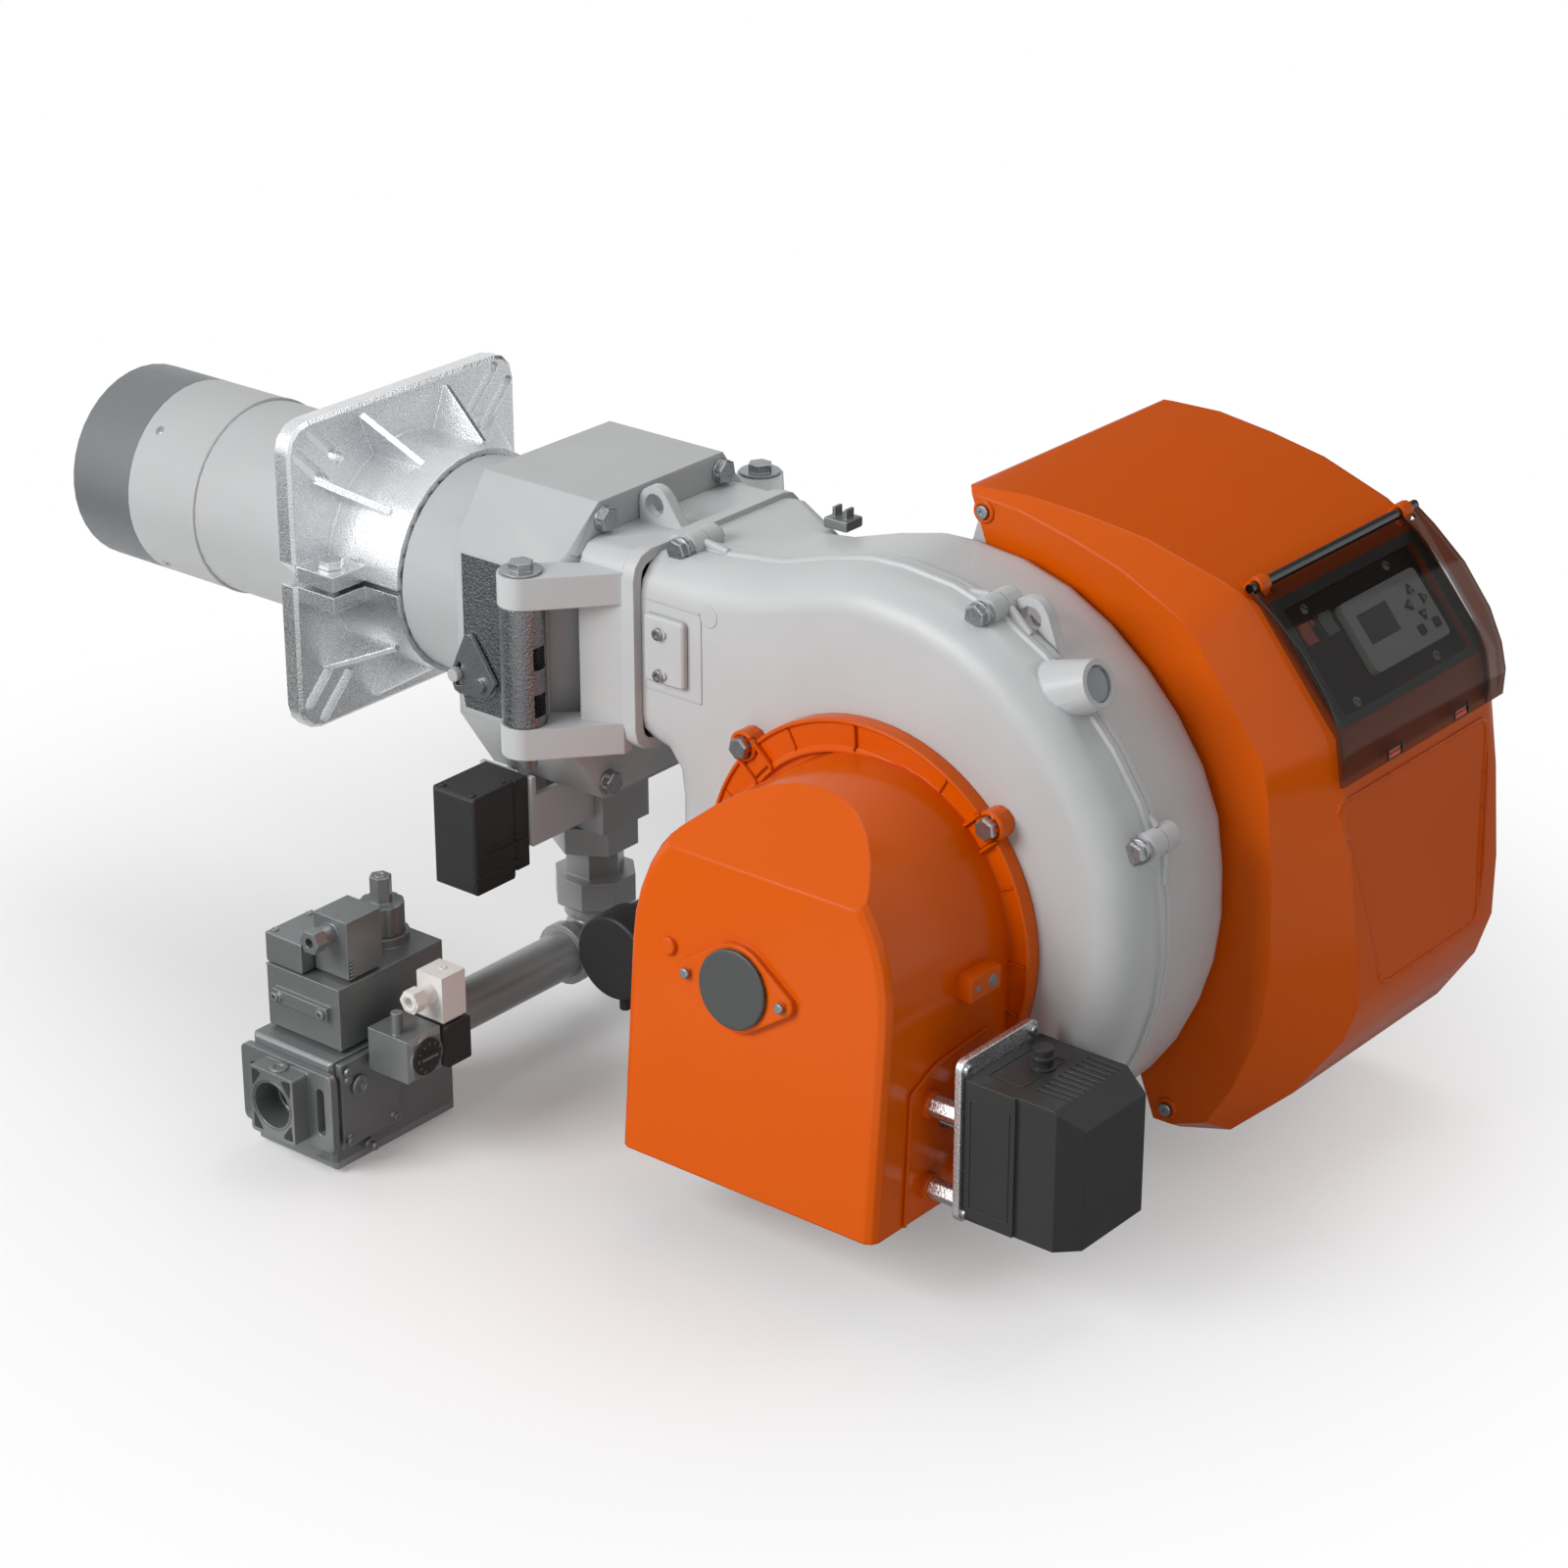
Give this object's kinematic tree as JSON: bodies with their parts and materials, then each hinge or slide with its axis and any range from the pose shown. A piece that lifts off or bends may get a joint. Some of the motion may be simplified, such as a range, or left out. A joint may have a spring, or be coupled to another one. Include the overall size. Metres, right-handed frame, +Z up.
{
  "type": "industrial gas burner",
  "caption": "Monobloc gas burner with blast tube, split flange, hinged fan housing, air intake with servo, gas valve train, and orange hood over a control panel.",
  "frame": {"origin": "on the burner axis at the boiler side of the mounting flange", "axes": "+Z up, -X along the blast tube into the boiler, -Y the side with air intake and gas train"},
  "size_m": [1.244, 0.743, 0.544],
  "materials": {
    "cast_bright": "rough bright casting",
    "housing_grey": "light grey paint over a fine casting",
    "orange": "glossy orange",
    "gas_grey": "dark grey, satin",
    "servo_black": "black, matte",
    "plug_white": "off-white",
    "tip_steel": "heat-resistant steel, dull",
    "tube_grey": "light grey",
    "zinc": "zinc-plated",
    "panel_black": "black, satin",
    "display_grey": "grey",
    "key_dark": "black",
    "lens": "clear",
    "smoked": "smoked, clear",
    "disc_grey": "grey",
    "ceramic": "white glaze on steel rods"
  },
  "bodies": {
    "flange": {"flange_upper_half": "cast_bright", "flange_lower_half": "cast_bright"},
    "head": {"blast_tube": "tube_grey", "tube_tip": "tip_steel", "head_casting": "housing_grey", "gas_throttle": "housing_grey", "throttle_bracket": "housing_grey", "throttle_servo": "servo_black", "gas_union": "gas_grey", "gas_elbow": "gas_grey", "gas_pipe": "gas_grey", "valve_body": "gas_grey", "valve_upper": "gas_grey", "valve_cap": "gas_grey", "valve_plug": "gas_grey", "valve_side_plate": "gas_grey", "gas_inlet_flange": "gas_grey", "pressure_switch": "gas_grey", "pressure_switch_cover": "servo_black", "pressure_switch_plug": "plug_white", "near_pin_middle": "zinc"},
    "flame_unit": {"gas_gun": "tip_steel", "electrodes": "ceramic"},
    "lever": {"adjust_lever": "zinc"},
    "butterfly": {"gas_butterfly": "zinc"},
    "regulator": {"regulator_cap": "gas_grey"},
    "dial": {"pressure_dial": "servo_black"},
    "housing": {"volute_rear_half": "housing_grey", "volute_near_shell": "housing_grey", "sight_glass": "lens", "hatch_plate": "housing_grey", "far_hinge_pin": "zinc", "near_pin_head": "zinc", "near_pin_tip": "zinc", "fan_motor": "gas_grey", "motor_terminal_box": "servo_black", "air_intake": "orange", "intake_cap": "disc_grey", "servo_plate": "cast_bright", "air_servo": "servo_black", "air_switch_cover": "servo_black", "air_pressure_switch": "servo_black", "hood": "orange", "panel_bezel": "panel_black", "panel_plate": "panel_black", "display_unit": "display_grey", "electrical_plate": "display_grey"},
    "fan": {"impeller": "zinc"},
    "damper": {"air_damper": "zinc"},
    "lid": {"panel_lid": "smoked"},
    "power": {"power_switch": "orange"},
    "mode": {"mode_switch": "display_grey"},
    "up": {"up_key": "key_dark"},
    "left": {"left_key": "key_dark"},
    "right": {"right_key": "key_dark"},
    "down": {"down_key": "key_dark"},
    "escape": {"escape_key": "key_dark"},
    "enter": {"enter_key": "key_dark"}
  },
  "joints": [
    {"name": "head_slide", "type": "slide", "parent": "flange", "child": "head", "axis": [1, 0, 0], "range_m": [0, 0.15]},
    {"name": "housing_swing", "type": "hinge", "parent": "head", "child": "housing", "pos_m": [0.291, 0.151, 0], "axis": [0, 0, 1], "range_deg": [0, 90]},
    {"name": "flame_slide", "type": "slide", "parent": "head", "child": "flame_unit", "axis": [1, 0, 0], "range_m": [-0.0091, 0.0091]},
    {"name": "lever_turn", "type": "hinge", "parent": "head", "child": "lever", "pos_m": [0.214, -0.117, -0.046], "axis": [0, 1, 0], "range_deg": [-11.4, 11.4]},
    {"name": "butterfly_turn", "type": "hinge", "parent": "head", "child": "butterfly", "pos_m": [0.228, 0, -0.172], "axis": [0, 1, 0], "range_deg": [0, 90]},
    {"name": "regulator_turn", "type": "hinge", "parent": "head", "child": "regulator", "pos_m": [0.228, -0.262, -0.2], "axis": [0, 0, 1], "range_deg": [0, 270]},
    {"name": "dial_turn", "type": "hinge", "parent": "head", "child": "dial", "pos_m": [0.33, -0.3185, -0.275], "axis": [1, 0, 0], "range_deg": [0, 300]},
    {"name": "fan_spin", "type": "hinge", "parent": "housing", "child": "fan", "pos_m": [0.612, 0, -0.137], "axis": [0, 1, 0], "continuous": true},
    {"name": "damper_turn", "type": "hinge", "parent": "housing", "child": "damper", "pos_m": [0.612, -0.188, -0.24], "axis": [1, 0, 0], "range_deg": [0, 90]},
    {"name": "lid_open", "type": "hinge", "parent": "housing", "child": "lid", "pos_m": [0.8205, 0.22, 0.1225], "axis": [0, -1, 0], "range_deg": [0, 100]},
    {"name": "power_rock", "type": "hinge", "parent": "housing", "child": "power", "pos_m": [0.84494, 0.1422, 0.07607], "axis": [0, 1, 0], "range_deg": [-6, 6]},
    {"name": "mode_rock", "type": "hinge", "parent": "housing", "child": "mode", "pos_m": [0.8449, 0.17175, 0.0761], "axis": [0, 1, 0], "range_deg": [-6, 6]},
    {"name": "up_press", "type": "slide", "parent": "housing", "child": "up", "axis": [-0.7672, 0, -0.6414], "range_m": [0, 0.0012], "stiffness_N_per_m": 300, "springref_m": -0.0003},
    {"name": "left_press", "type": "slide", "parent": "housing", "child": "left", "axis": [-0.7672, 0, -0.6414], "range_m": [0, 0.0012], "stiffness_N_per_m": 300, "springref_m": -0.0003},
    {"name": "right_press", "type": "slide", "parent": "housing", "child": "right", "axis": [-0.7672, 0, -0.6414], "range_m": [0, 0.0012], "stiffness_N_per_m": 300, "springref_m": -0.0003},
    {"name": "down_press", "type": "slide", "parent": "housing", "child": "down", "axis": [-0.7672, 0, -0.6414], "range_m": [0, 0.0012], "stiffness_N_per_m": 300, "springref_m": -0.0003},
    {"name": "escape_press", "type": "slide", "parent": "housing", "child": "escape", "axis": [-0.7672, 0, -0.6414], "range_m": [0, 0.0012], "stiffness_N_per_m": 300, "springref_m": -0.0003},
    {"name": "enter_press", "type": "slide", "parent": "housing", "child": "enter", "axis": [-0.7672, 0, -0.6414], "range_m": [0, 0.0012], "stiffness_N_per_m": 300, "springref_m": -0.0003}
  ],
  "couplings": [
    {"joint": "lever_turn", "follows": "flame_slide", "rad_per_m": 21.739}
  ]
}
